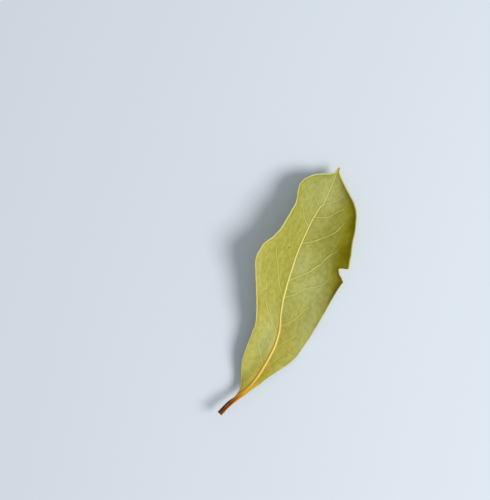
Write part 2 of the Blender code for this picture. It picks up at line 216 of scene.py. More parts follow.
# Midrib and stalk: half width of the ridge, its top over and its keel below the middle plane.
RIB_HALF_WIDTH = [
    (0, 0.92), (5, 0.84), (8, 0.64), (11, 0.49), (25, 0.5), (40, 0.4), (55, 0.3), (70, 0.22),
    (80, 0.17), (86, 0.15)]
RIB_TOP = [(0, 0.74), (7, 0.7), (12, 0.58), (20, 0.5), (40, 0.44), (60, 0.37), (75, 0.29), (86, 0.22)]
KEEL_DEPTH = [(0, 0.8), (7, 0.8), (14, 0.77), (25, 0.74), (60, 0.74), (75, 0.56), (86, 0.4)]
KEEL_WIDER = 0.25
KEEL_POWER = 2.6
RIDGE_FOOT = 1.35
# The round stalk turns into the thin blade between two places along the leaf.
STALK_JOIN = (STALK_LENGTH - 2.0, STALK_LENGTH + 2.5)
# A shallow groove on top of the stalk, and the shrunken skin's lengthwise wrinkles: their height, how
# closely they follow each other round the stalk and along it, and their seed.
GROOVE_DEPTH = 0.12
GROOVE_SHARE = 0.35
STALK_WRINKLE = 0.035
WRINKLES_ROUND = 6
WRINKLES_ALONG = 0.3
WRINKLE_SEED = 31

# The torn notch in the right edge and a small nick in the left one: (place along, depth).
NOTCH = [
    (54.3, 0), (54.6, 0.25), (54.9, 0.62), (55.2, 0.9), (55.6, 1.5), (55.9, 1.85), (56.1, 2.15),
    (56.45, 2.3), (56.8, 2.6), (57.15, 2.72), (57.45, 2.85), (57.7, 2.6), (57.95, 2.1), (58.25, 1.25),
    (58.5, 0.5), (58.7, 0)]
NICK = [(28.9, 0), (29.15, 0.22), (29.6, 0)]
NOTCH_REACH = 0.35

# Ripples of the dried blade: (size of a ripple, height, seed).
RIPPLES = [(7, 0.11, 11), (2.6, 0.045, 12), (1.1, 0.02, 13)]
# Distances from the midrib's ridge and from the edge at which the ripples are in full.
RIPPLES_OFF_RIDGE = 1.5
RIPPLES_OFF_EDGE = 1.0

# Cross lines of the skin: how many, and how much closer they lie at the starts of veins and in the notch.
ROWS = 340
RULER_SPOTS = 4000
VEIN_CROWD = 0.4
VEIN_DENSITY = 2.5
NOTCH_DENSITY = 1.5
NOTCH_MARGIN = 0.5
# Columns from the midrib to one edge: on the ridge, over the blade and round the rim. The ridge's end at
# a multiple of the keel's half width, and the rim's take at most a share of the way out.
UPPER_COLUMNS = (12, 72, 7)
LOWER_COLUMNS = (9, 28, 5)
INNER_KEELS = 1.45
INNER_SHARE_LIMIT = 0.6
RIM_SHARE_LIMIT = 0.15
NUDGE = 0.01
# A low dome closes each end: the sizes of its rings, the way it points, and its height.
CAP_SHARES = np.array([0.97, 0.85, 0.6, 0.3, 0.0])
STALK_WAY = np.array([-0.35, -0.93, 0.08])
TIP_WAY = np.array([0.0, 0.97, 0.2])
STALK_DOME = 0.06
TIP_DOME = 0.22

# Colours, each the linear share of red, green and blue.
BLADE_OLIVE = (0.368, 0.362, 0.072)
BLADE_STREAK = (0.41, 0.392, 0.083)
BLADE_DARKER = (0.25, 0.235, 0.02)
BLADE_PALED = (0.52, 0.48, 0.12)
RIB_FOOT_SHADE = (0.275, 0.228, 0.0)
# Tints that the blade takes on, in their order. The paled one is partly painted light.
TINTS = {
    "deepened": (0.345, 0.34, 0.05),
    "greened": (0.31, 0.345, 0.1),
    "greyed": (0.41, 0.43, 0.15),
    "silvered": (0.5, 0.515, 0.2),
    "ochred": (0.43, 0.36, 0.055),
    "paled_and_lit": BLADE_PALED}
# Tints that leave a share of the red, the green and the blue: the shaded one is painted shade, and the brown
# one is partly painted shade.
LEFT_BY_TINTS = {"shaded": (0.8, 0.8, 0.84), "yellowed": (1.0, 0.98, 0.05), "browned": (0.76, 0.66, 0.0)}
VEIN_SHADE = (0.22, 0.22, 0.02)
VEIN_PALE = (0.67, 0.645, 0.21)
EDGE_PALE = (0.74, 0.685, 0.25)
EDGE_TAN = (0.78, 0.63, 0.19)
EDGE_SHADE = (0.24, 0.2, 0.015)
RIM_SHADE_BROWN = (0.155, 0.1, 0.0)
RIB_PALE = (0.78, 0.71, 0.22)
RIB_STRAW = (0.93, 0.735, 0.21)
RIB_GOLD = (0.94, 0.65, 0.15)
RIB_ORANGE = (0.66, 0.32, 0.02)
RIB_FLANK = (0.56, 0.3, 0.03)
STALK_RUST = (0.42, 0.13, 0.0)
STALK_BROWN = (0.17, 0.045, 0.0)
STALK_DARK = (0.055, 0.018, 0.0)
STALK_HIGHLIGHT = (0.42, 0.17, 0.04)
CUT_PITH = (0.34, 0.19, 0.09)
TORN_TAN = (0.52, 0.36, 0.17)
TORN_STAIN = (0.26, 0.13, 0.02)
UNDERSIDE = (0.48, 0.485, 0.22)
UNDERSIDE_DULL = (0.385, 0.39, 0.155)
UNDERSIDE_TAN = (0.51, 0.465, 0.19)

# Millimetres to one unit of the leaf's map, which is the blade pressed flat.
MAP_UNIT = 100.0
# Random patterns: (size of a patch, detail, roughness).
CLOUDS = (4.0, 2.0, 0.5)
STREAKS = (1.3, 3.0, 0.6)
MOTTLE = (1.7, 3.0, 0.55)
GRAIN = (0.3, 2.0, 0.5)
FIBRES = (0.3, 3.0, 0.5)
# How slowly the streaks change along a cross line, and the fibres along the stalk.
STREAK_PACE = 0.16
FIBRE_PACE = 0.12
# The finest net of veins: size of its cells, how irregular they are, and the waves that bend its lines.
NET_CELL = 0.7
NET_IRREGULAR = 0.9
NET_WAVE_SIZE = 2.5
NET_WAVE_DEPTH = 0.6
# The stalk's painted highlight, a pale streak, lies left of its middle, and its rust climbs less far beside
# the midrib.
HIGHLIGHT_STREAK_LEFT = 0.12
RUST_SLANT = 1.7
# The midrib pales between these places along the leaf, down to half its strength.
RIB_PALES = (66.0, 86.0)
RIB_PALEST = 0.5

# What a layer of colour follows: (a pattern or a number kept on the mesh, its value where the layer is
# in full, its value where the layer is gone). A name alone stands for a share as it is.
NET_LINES = ("from_cell_edge", 0.03, 0.13)
THIN_VEIN_LINES = ("from_thin_vein", 0.03, 0.2)
VEIN_LINES = ("from_vein", 0.05, 0.22)
EDGE_LINES = ("edge_line", 0.3, 1.0)
# Layers of colour, the lowest first: (colour, the most that it covers, all that it follows).
BLADE_LAYERS = [
    (BLADE_STREAK, 0.4, ("clouds", 0.68, 0.32)),
    (BLADE_STREAK, 0.4, ("streaks", 0.66, 0.36)),
    *((colour, 1.0, name) for name, colour in TINTS.items()),
    (BLADE_DARKER, 0.26, ("mottle", 0.36, 0.58)),
    (BLADE_PALED, 0.24, ("mottle", 0.68, 0.46)),
    (BLADE_DARKER, 0.14, ("grain", 0.62, 0.4)),
    (VEIN_PALE, 0.16, NET_LINES)]
VEIN_AND_EDGE_LAYERS = [
    (VEIN_PALE, 0.35, THIN_VEIN_LINES, "thin_vein_bold", "not_brown_and_shade"),
    (VEIN_SHADE, 0.36, ("from_vein", 0.35, 0.7), "vein_bold"),
    (VEIN_PALE, 0.9, VEIN_LINES, "vein_bold"),
    # Painted shade in brown at the foot of the midrib.
    (RIB_FOOT_SHADE, 0.2, ("from_rib_share", 1.1, 2.0)),
    # Painted shade in brown along the right rim.
    (RIM_SHADE_BROWN, 0.68, "rim_shade"),
    (EDGE_SHADE, 0.3, ("from_edge", 0.5, 1.0), "edge_bold"),
    (EDGE_PALE, 0.85, EDGE_LINES, "edge_bold", "on_left"),
    (EDGE_TAN, 0.85, EDGE_LINES, "edge_bold", "on_right"),
    (TORN_STAIN, 0.6, ("from_tear", 0.2, 1.5), ("mottle", 0.35, 0.6)),
    (TORN_TAN, 1.0, ("from_tear", 0.08, 0.2))]
UNDERSIDE_LAYERS = [
    (UNDERSIDE_TAN, 0.5, ("clouds", 0.62, 0.38)),
    (UNDERSIDE_DULL, 0.5, ("streaks", 0.36, 0.62)),
    (UNDERSIDE_DULL, 0.4, ("mottle", 0.36, 0.58)),
    (VEIN_PALE, 0.3, NET_LINES),
    (VEIN_PALE, 0.6, THIN_VEIN_LINES, "thin_vein_bold"),
    (VEIN_PALE, 0.9, VEIN_LINES, "vein_bold")]
RIB_LAYERS = [
    (RIB_STRAW, 1.0, ("along", 28.0, 42.0)),
    (RIB_GOLD, 1.0, ("along", 16.0, 26.0)),
    (RIB_ORANGE, 1.0, ("along", 9.0, 17.0)),
    (RIB_FLANK, 0.85, ("from_rib_share", 0.65, 0.25), ("along", 34.0, 43.0))]
BASE_LAYERS = [
    (RIB_ORANGE, 0.2, ("along", 8.0, 11.0), ("from_rib", 0.4, 1.1)),
    (RIB_ORANGE, 0.2, ("along", 9.0, 18.0), ("from_rib", 0.8, 3.5)),
    (STALK_RUST, 1.0, ("up_and_out", 6.4, 10.8))]
STALK_LAYERS = [
    (STALK_BROWN, 1.0, ("off_rib", 0.1, 0.8)),
    # Painted shade: the stalk's left side darker, on the side away from the light.
    (STALK_DARK, 1.0, ("off_rib", -0.55, 0.0)),
    # Painted highlight: a pale streak down the stalk, broken up by its fibres.
    (STALK_HIGHLIGHT, 0.6, ("from_highlight_streak", 0.06, 0.3), ("fibres", 0.42, 0.6)),
    (STALK_DARK, 0.5, ("fibres", 0.62, 0.42)),
    (STALK_DARK, 0.35, ("along", 0.15, 0.6)),
    (CUT_PITH, 1.0, ("cut_end", 0.35, 0.1))]
# Where the underside, the midrib and the stalk lie over the blade: the most, and all that it follows.
UNDERSIDE_AREA = (0.85, "underside")
RIB_AREA = (1.0, ("from_rib_share", 0.7, 1.1), "rib_strength")
STALK_AREA = (1.0, ("up_and_right", 4.2, 7.2))
# Surface: range of the roughness, gloss, and the bump's strength, depth and parts.
LEAF_ROUGHNESS = (0.5, 0.66)
LEAF_GLOSS = 0.08
BUMP_STRENGTH = 0.5
BUMP_DEPTH = 0.03
BUMP_PARTS = [(0.6, NET_LINES), (0.5, "grain"), (0.8, THIN_VEIN_LINES, "thin_vein_bold")]

# Strips along an edge: (strength, the distances from it where the strip is gone and in full, the places
# along the leaf where it starts, is in full, begins to end and is gone).
# The right half's brown margin is partly real browning and partly painted shade, where the half curls up
# away from the light.
BROWN_AND_SHADE_MARGIN = (0.95, (6.5, 0.3), (50, 63, 72, 85))
PALE_MARGIN = (0.7, (2.4, 0.3), (38, 45, 58, 67))
# The dark rims are painted shade, tinted brown, along the right rim where it curls up away from the light.
DARK_RIMS = [(1, (1.7, 0), (40, 52, 54, 58)), (0.65, (1.7, 0), (62, 71, 75, 81))]
# Painted shade in brown, a strip left of the midrib: strength, the four distances from it and the four
# places along it.
RIB_SHADE_STRIP = (0.3, (0.3, 0.9, 1.4, 3.6), (28, 34, 52, 64))

# Patches of tint on the upper face: (place across, place along, reach across, reach along, strength).
# The shaded ones are painted shade and the paled ones partly painted light.
# The spared ones stay free of the brown margin.
PATCHES = {
    "greened": [(-3, 80, 10, 11, 0.7), (5.5, 68, 5.5, 13, 0.35), (8, 50, 10, 24, 0.35),
        (-4, 71, 6, 12, 0.2), (5, 79.5, 6, 7, 0.75), (0.5, 83, 4, 5, 0.3)],
    "silvered": [(1.8, 78.5, 5, 8.5, 0.7), (9.5, 48.5, 4.5, 7.5, 0.5), (2.8, 54, 3.8, 9.5, 0.65),
        (13.3, 40, 3.2, 12, 0.45), (4.9, 43, 2.6, 9, 0.3), (5.3, 27, 1.5, 6, 0.35),
        (2.2, 27, 3, 11, 0.25), (0.5, 70, 5, 10, 0.25)],
    "greyed": [(-3.5, 73, 4.5, 9, 0.4), (8.5, 48, 6.5, 8.5, 0.8), (3, 30, 3.2, 12, 0.6),
        (13, 35, 4, 10, 0.4), (0.5, 35, 4, 8, 0.35)],
    "shaded": [(3.5, 22, 2.4, 11, 0.5), (-2.5, 74, 4.5, 8, 0.45), (6.8, 69, 3, 10, 0.45),
        (13.2, 57, 2.8, 2.8, 0.7), (2.2, 40.5, 1.5, 6, 0.35), (2.8, 27.5, 2.6, 5, 0.3),
        (10.8, 52.5, 2.6, 4, 0.35), (14, 44.5, 2.2, 3.4, 0.45), (5, 82, 4, 2.6, 0.6),
        (-0.5, 69, 2.6, 7, 0.5), (11, 60, 4.5, 6.5, 0.35)],
    "ochred": [(12.8, 68.5, 2.8, 9, 0.4), (1.5, 12, 2.8, 5, 0.6), (6, 15, 5, 12, 0.85),
        (9, 27, 5, 14, 0.55), (-4.5, 40, 3, 9, 0.3), (-1.8, 34, 2.6, 9, 0.55), (-10, 56, 4, 6, 0.5),
        (15, 54.5, 3, 3, 0.5)],
    "browned": [(5.5, 65, 4.5, 7, 0.25), (7.8, 18, 3.8, 11, 0.4), (16, 53.5, 4, 6, 0.5),
        (11, 61.5, 5, 7.5, 0.35), (8.6, 30, 2.2, 6, 0.3), (14, 56.6, 3, 3.4, 0.65),
        (5.8, 73, 1.6, 5, 0.2), (6, 40.5, 2, 4, 0.15)],
    "deepened": [(-6, 57, 9, 28, 0.95), (11, 70, 5, 14, 0.7), (-8.5, 73, 2.5, 6, 0.5),
        (0, 83.5, 4, 4, 0.4)],
    "spared": [(12.6, 67.4, 1.9, 4.5, 0.75), (16, 59.4, 2.2, 2.4, 0.85), (9.6, 75, 2.2, 5, 0.6)],
    "paled_and_lit": [(-6.8, 41.5, 2.6, 6.5, 0.25), (9.8, 39, 2.6, 4.5, 0.3), (4.8, 47, 2.5, 4, 0.2),
        (12.8, 24.5, 2, 4, 0.3), (0.4, 13.2, 1.6, 4, 0.5), (-1.2, 26, 3.2, 14, 0.4),
        (0.5, 18, 2.4, 7, 0.9)],
    "yellowed": [(14, 70, 6, 15, 0.85), (15, 59.5, 3, 3.5, 0.8), (15, 53, 3.5, 6, 0.2),
        (10, 77, 3.6, 5.5, 0.75), (3.4, 83, 2.8, 1.8, 0.7), (7.6, 70, 3, 7, 0.25),
        (13.6, 57, 2.2, 2.6, 0.6)]}
PATCH_CORE = 0.2

# Small marks on the upper face: (place across pressed flat, place along, radius, colour, strength).
MARKS = [
    (-5.3, 56.6, 0.4, (0.14, 0.12, 0.02), 0.85),
    (-11.4, 46.8, 0.34, (0.2, 0.17, 0.03), 0.6),
    (-9, 41.2, 0.3, (0.16, 0.12, 0.02), 0.7),
    (-8.2, 37.1, 0.3, (0.2, 0.13, 0.03), 0.6),
    (4.4, 25.5, 0.35, (0.3, 0.17, 0.05), 0.5),
    (-9.2, 73, 0.7, (0.26, 0.2, 0.04), 0.5),
    (8.2, 59.5, 0.4, (0.22, 0.17, 0.03), 0.4)]
MARK_CORE = 0.4

# The table top: half its side in metres, and the gap under the leaf in millimetres.
FLOOR_HALF_SIZE = 3.0
FLOOR_GAP = 0.04
FLOOR_COLOUR = (0.7, 0.76, 0.83, 1.0)
FLOOR_ROUGHNESS = 0.9
FLOOR_GLOSS = 0.1

# The camera looks straight down, turned so that the leaf leans to the right as in the photograph.
CAMERA_X = -18.1 * MM
CAMERA_Y = 6.9 * MM
CAMERA_TURN = 26.06
CAMERA_HEIGHT = 0.454
CAMERA_CLIP = 0.01
PIXEL_SIZE = 0.316 * MM
IMAGE_HEIGHT = 500
SENSOR = 36.0
LEAF_LEVEL = 4.0 * MM

# Key light: the way to it in the picture, right and up, and its height over the horizon.
KEY_RIGHT = 1.0
KEY_UP = -0.3
KEY_ELEVATION = 48.0
KEY_DISTANCE = 1.0
KEY_SIZE = 0.5
KEY_POWER = 8.2
KEY_COLOUR = (1.0, 0.98, 0.95)
SURROUND_COLOUR = (0.9, 0.95, 1.0, 1.0)
SURROUND_STRENGTH = 0.45


def curve(at, stations):
    """Smooth curve through the stations that never swings past them, and goes on straight at its ends.

    Each piece is a cubic. The slope at a station is the harmonic mean of the slopes to its
    neighbours, weighted by their distances, and nothing where the values turn back.
    """
    places, values = np.array(stations).T
    gaps = np.diff(places)
    secants = np.diff(values) / gaps
    same_way = secants[:-1] * secants[1:] > 0
    before = 2 * gaps[1:] + gaps[:-1]
    after = gaps[1:] + 2 * gaps[:-1]
    safe = np.where(secants == 0, 1.0, secants)
    total = np.where(same_way, before / safe[:-1] + after / safe[1:], 1.0)
    mean = np.where(same_way, (before + after) / total, 0.0)
    slopes = np.concatenate([secants[:1], mean, secants[-1:]])
    inside = np.clip(at, places[0], places[-1])
    past = at - inside
    piece = np.clip(np.searchsorted(places, inside) - 1, 0, len(places) - 2)
    width = gaps[piece]
    s = (inside - places[piece]) / width
    start = (1 + 2 * s) * (1 - s) ** 2 * values[piece] + s * (1 - s) ** 2 * width * slopes[piece]
    end = s * s * (3 - 2 * s) * values[piece + 1] - s * s * (1 - s) * width * slopes[piece + 1]
    return start + end + past * np.where(past < 0, slopes[0], slopes[-1])


def ease(value, low, high):
    """0 below low, 1 above high, and between them 3 s squared less 2 s cubed."""
    s = np.clip((value - low) / (high - low), 0.0, 1.0)
    return s * s * (3 - 2 * s)


def hill(value, start, top_start, top_end, end):
    """Rises from start to top_start, stays at 1 to top_end and falls to 0 at end."""
    return ease(value, start, top_start) * (1 - ease(value, top_end, end))


def hump(value, spread):
    """e to the power of minus the square of the value over the spread: 1 where the value is 0."""
    return np.exp(-(value / spread) ** 2)


def lumps(across, along, size, seed):
    """Random height from -1 to 1: seeded values on a square net of that size, eased between its knots."""
    knots = 64
    values = np.random.default_rng(seed).uniform(-1, 1, (knots, knots))
    u = across / size + knots / 2
    v = along / size
    column = np.floor(u).astype(int)
    row = np.floor(v).astype(int)
    s = ease(u - column, 0.0, 1.0)
    t = ease(v - row, 0.0, 1.0)
    column = column % knots
    row = row % knots
    values = np.pad(values, (0, 1), mode="wrap")
    near = values[column, row] * (1 - s) + values[column + 1, row] * s
    far = values[column, row + 1] * (1 - s) + values[column + 1, row + 1] * s
    return near * (1 - t) + far * t


def by_half(left, along, left_stations, right_stations):
    """The left half's curve where left is true, and the right half's elsewhere."""
    return np.where(left, curve(along, left_stations), curve(along, right_stations))


def place_along(line, side):
    """Place along the leaf of a point: its cross line's start plus its lean, with the arch of a vein.

    The arch is a power of the reach up to the turn, and from there its slope falls evenly to
    nothing at the edge. On the stalk the cross lines slant with the cut end.
    """
    reach = np.abs(side)
    left = side < 0
    lean = by_half(left, line, LEFT_LEAN, RIGHT_LEAN)
    power = by_half(left, line, LEFT_ARCH, RIGHT_ARCH)
    past = np.maximum(reach - ARCH_TURN, 0.0)
    slope_at_turn = power * ARCH_TURN ** (power - 1)
    arch = np.minimum(reach, ARCH_TURN) ** power
    arch = arch + slope_at_turn * (past - past ** 2 / (2 * (1 - ARCH_TURN)))
    cut = STALK_CUT_SLANT * side * (1 - ease(line, 0.0, STALK_LENGTH))
    return line + lean * arch - cut


def trimmed_reach(along, side, width):
    """Share of the way to the whole edge, the outer part pulled in at notch and nick, and uneven."""
    reach = np.abs(side)
    notch, nick = (np.interp(along, *np.array(tear).T) for tear in (NOTCH, NICK))
    read_at = np.sign(side) * UNEVEN_APART
    uneven = sum(depth * lumps(read_at, along, size, seed) for size, depth, seed in EDGE_UNEVEN)
    uneven = uneven * hill(along, STALK_LENGTH, 2 * STALK_LENGTH, WAVE_END, LEAF_LENGTH)
    pulled_in = (np.where(side > 0, notch, nick) + uneven) / width
    return reach - pulled_in * ease(reach, 1 - NOTCH_REACH, 1.0)


def sheet(line, side):
    """Middle plane of the blade as x, y, z: the two halves rise from the midrib to their edges.

    The left half rises by a power of the way out. The right half rises by a slowly growing power,
    with a curl of its outer strip, and sags to a belly in the middle of the leaf.
    """
    along = place_along(line, side)
    left = side < 0
    rib_x = curve(along, MIDRIB_ACROSS)
    edge_x = by_half(left, along, LEFT_EDGE, RIGHT_EDGE)
    width = np.abs(edge_x - rib_x)
    reach = trimmed_reach(along, side, width)
    across = rib_x + (edge_x - rib_x) * reach
    crease = CREASE_ROUNDING / width
    bent = np.sqrt(reach ** 2 + crease ** 2) - crease
    left_lift = curve(along, LEFT_RISE) * bent ** LEFT_BEND
    curl = curve(along, RIGHT_CURL)
    right_shape = (1 - curl) * bent ** curve(along, RIGHT_BEND) + curl * bent ** CURL_POWER
    right_lift = curve(along, RIGHT_RISE) * right_shape
    sag = np.exp(-((along - BELLY_ALONG) / BELLY_LENGTH) ** 2 - ((reach - BELLY_SIDE) / BELLY_SPREAD) ** 2)
    sag = BELLY_DEPTH * sag * ease(reach, 0.0, BELLY_SIDE)
    left_waves = (along - LEFT_WAVE_FROM) / LEFT_WAVE_LENGTH
    right_waves = (along - RIGHT_WAVE_FROM) / RIGHT_WAVE_LENGTH
    wave = WAVE_HEIGHT * reach ** WAVE_POWER * np.sin(2 * np.pi * np.where(left, left_waves, right_waves))
    wave = wave * hill(along, WAVE_START, 2 * WAVE_START, WAVE_END - WAVE_START, WAVE_END)
    height = curve(along, MIDRIB_HEIGHT) + np.where(left, left_lift, right_lift - sag) + wave
    return np.stack([across, along, height], axis=-1)


def normals(line, side):
    """Unit normal of the sheet: square to its runs out to the edge and along the leaf."""
    run_along = sheet(line + NUDGE, side) - sheet(line - NUDGE, side)
    run_out = sheet(line, side + NUDGE) - sheet(line, side - NUDGE)
    normal = np.cross(run_out, run_along)
    return normal / np.linalg.norm(normal, axis=-1, keepdims=True)


def pressed_flat(across, along):
    """Place across the blade pressed flat: its share of the way out times the length up to the edge."""
    rib_x = curve(along, MIDRIB_ACROSS)
    left = across < rib_x
    width = np.abs(by_half(left, along, LEFT_EDGE, RIGHT_EDGE) - rib_x)
    rise = by_half(left, along, LEFT_RISE, RIGHT_RISE)
    return (across - rib_x) / width * np.sqrt(width ** 2 + rise ** 2)


def vein_path(spots, seed):
    """Smooth path through the spots on the blade pressed flat, with a small wobble square to its run."""
    spots = np.array(spots, dtype=float)
    counts = np.arange(len(spots), dtype=float)
    at = np.linspace(0.0, counts[-1], VEIN_STEPS * (len(spots) - 1) + 1)
    across, along = (curve(at, np.stack([counts, values], axis=-1)) for values in spots.T)
    path = np.stack([pressed_flat(across, along), along], axis=-1)
    run = np.gradient(path, axis=0)
    square = np.stack([-run[:, 1], run[:, 0]], axis=-1) / np.linalg.norm(run, axis=1, keepdims=True)
    passed = np.cumsum(np.linalg.norm(run, axis=1))
    wobble = VEIN_WOBBLE * lumps(passed, np.zeros_like(passed), WOBBLE_LENGTH, seed)
    wobble = wobble * ease(passed, *WOBBLE_START)
    return path + square * wobble[:, None]


def side_veins():
    """Paths of the side veins of both halves. A vein keeps its boldness and fades out near its end."""
    halves = []
    for veins, (wobble_seed, life_seed) in zip((LEFT_VEINS, RIGHT_VEINS), VEIN_SEEDS):
        paths = []
        for number, (bold, spots) in enumerate(veins):
            path = vein_path(spots, wobble_seed + number)
            share = np.linspace(0.0, 1.0, len(path))
            swells = lumps(share * LIFE_SWELLS, np.zeros_like(share), 1.0, life_seed + number)
            life = LIFE_MIDDLE + LIFE_SWING * swells
            paths.append((path, bold * life * (1 - ease(share, 1 - VEIN_FADE, 1.0))))
        halves.append(paths)
    return halves


def at_share(path, share):
    """The spot at a share of the way along a path."""
    counts = np.linspace(0.0, 1.0, len(path))
    return np.stack([np.interp(share, counts, values) for values in path.T], axis=-1)


def cross_link(start, stop, place, draw):
    """A faint link from a place on one vein to a spot a little further out on the next, and its boldness.

    To the straight run are added half a wave square to it, which bows it towards the edge, and a
    seeded wandering under the same half wave.
    """
    first = at_share(start, place)
    run = at_share(stop, min(place + draw.uniform(*LINK_LEAN), 1.0)) - first
    step = np.linspace(0.0, 1.0, LINK_SPOTS)[:, None]
    bow = np.array([-run[1], run[0]]) * draw.uniform(*LINK_BOW)
    wander = draw.uniform(*LINK_WANDER, (LINK_SPOTS, 2))
    path = first + step * run + np.sin(np.pi * step) * (bow + wander)
    return path, np.full(LINK_SPOTS, draw.uniform(*LINK_BOLDNESS))


def thin_veins(halves):
    """Fainter veins: halfway between two side veins runs a shorter one, and links lead across to it."""
    draw = np.random.default_rng(THIN_VEIN_SEED)
    paths = []
    share = np.linspace(0.0, 1.0, BETWEEN_SPOTS)
    for veins in halves:
        for (low, _), (high, _) in zip(veins, veins[1:]):
            middle = (at_share(low, share) + at_share(high, share)) / 2
            end = draw.uniform(*BETWEEN_LENGTH)
            paths.append((middle, BETWEEN_BOLDNESS * (1 - ease(share, end - VEIN_FADE, end))))
            length = np.linalg.norm(np.diff(middle, axis=0), axis=1).sum()
            for start, stop in ((low, middle), (middle, high)):
                for place in np.arange(0.5, length / LINK_GAP) * LINK_GAP:
                    place = (place + draw.uniform(*LINK_SHIFT)) / length
                    paths.append(cross_link(start, stop, place, draw))
    return paths


def from_paths(flat_x, along, paths):
    """Signed distance from the nearest path on the blade pressed flat, and its boldness there.

    The distance is the least over a path's straight stretches. It is less than 0 on one side of
    the path, so that it changes evenly across the line, and a far-off value away from all paths.
    """
    flat = np.stack([flat_x, along], axis=-1)
    distance = np.full(flat_x.shape, FAR_OFF)
    boldness = np.zeros(flat_x.shape)
    for path, bold in paths:
        low = path.min(axis=0) - VEIN_REACH
        high = path.max(axis=0) + VEIN_REACH
        near = np.all((flat > low) & (flat < high), axis=-1)
        run = np.diff(path, axis=0)
        away = flat[near][:, None] - path[:-1]
        share = np.clip((away * run).sum(axis=-1) / (run ** 2).sum(axis=-1), 0.0, 1.0)
        rest = away - share[..., None] * run
        gaps = np.linalg.norm(rest, axis=-1)
        best = gaps.argmin(axis=1)
        rows = np.arange(len(best))
        turn = run[best, 0] * rest[rows, best, 1] - run[best, 1] * rest[rows, best, 0]
        gap = gaps[rows, best]
        life = np.interp(best + share[rows, best], np.arange(len(bold)), bold)
        life = life * (1 - ease(gap, VEIN_NEAR, VEIN_REACH))
        nearer = gap < np.abs(distance[near])
        distance[near] = np.where(nearer, np.where(turn < 0, -gap, gap), distance[near])
        boldness[near] = np.where(nearer, life, boldness[near])
    return distance, boldness


def from_midrib(points):
    """Distance from the midrib, seen from above and square to it, and less than 0 on the left.

    It is the distance across over the root of 1 plus the square of the midrib's slope.
    """
    along = points[..., 1]
    rib_x = curve(along, MIDRIB_ACROSS)
    rib_slope = (curve(along + NUDGE, MIDRIB_ACROSS) - curve(along - NUDGE, MIDRIB_ACROSS)) / (2 * NUDGE)
    return (points[..., 0] - rib_x) / np.sqrt(1 + rib_slope ** 2)


def from_edge(side, points):
    """Distance inward from the whole edge, seen from above and square to it.

    It is the rest of the way out over the root of 1 plus the square of the edge's slope.
    """
    along = points[..., 1]
    left = side < 0
    width = np.abs(by_half(left, along, LEFT_EDGE, RIGHT_EDGE) - curve(along, MIDRIB_ACROSS))
    ahead = by_half(left, along + NUDGE, LEFT_EDGE, RIGHT_EDGE)
    behind = by_half(left, along - NUDGE, LEFT_EDGE, RIGHT_EDGE)
    slope = (ahead - behind) / (2 * NUDGE)
    return (1 - np.abs(side)) * width / np.sqrt(1 + slope ** 2)


def off_tear(across, along):
    """Signed distance from the torn edge of the notch, seen from above."""
    places, depths = np.array(NOTCH).T
    corners = np.stack([curve(places, RIGHT_EDGE) - depths, places], axis=-1)
    return from_paths(across, along, [(corners, np.ones(len(corners)))])[0]


def tint(name, across, along):
    """Share of one tint: each of its patches is full in its middle and fades out to its oval rim.

    What the tint leaves over is the product of what its patches leave over.
    """
    left_over = np.ones_like(across)
    for middle_across, middle_along, reach_across, reach_along, strength in PATCHES[name]:
        away = np.hypot((across - middle_across) / reach_across, (along - middle_along) / reach_along)
        left_over = left_over * (1 - strength * (1 - ease(away, PATCH_CORE, 1.0)))
    return 1 - left_over


class Spots:
    """Spots of the blade's middle plane, and what its shape and its looks need to know there."""

    def __init__(self, line, side):
        self.line = line
        self.side = side
        self.right = side > 0
        self.middle = sheet(line, side)
        self.across = self.middle[..., 0]
        self.along = self.middle[..., 1]
        self.flat_x = pressed_flat(self.across, self.along)
        self.off_rib = from_midrib(self.middle)
        self.off_edge = from_edge(side, self.middle)
        halves = side_veins()
        self.vein_off, self.vein_bold = from_paths(self.flat_x, self.along, halves[0] + halves[1])
        self.thin_off, self.thin_bold = from_paths(self.flat_x, self.along, thin_veins(halves))
        self.rib_width = curve(self.along, RIB_HALF_WIDTH)
        self.on_stalk = 1 - ease(self.along, *STALK_JOIN)


def ripples(at):
    """Height of the blade's ripples, which die out at midrib and edge, and of its swell between veins.

    The swell has a round hump taken off at each vein, times a power of a half wave from midrib to edge.
    """
    height = sum(depth * lumps(at.flat_x, at.along, size, seed) for size, depth, seed in RIPPLES)
    off_ridge = ease(np.abs(at.off_rib), at.rib_width, at.rib_width + RIPPLES_OFF_RIDGE)
    swell = PANEL_SWELL * (1 - hump(at.vein_off, PANEL_SPREAD))
    swell = swell * np.sin(np.pi * np.clip(np.abs(at.side), 0, 1)) ** PANEL_POWER
    return height * off_ridge * ease(at.off_edge, 0.0, RIPPLES_OFF_EDGE) + swell


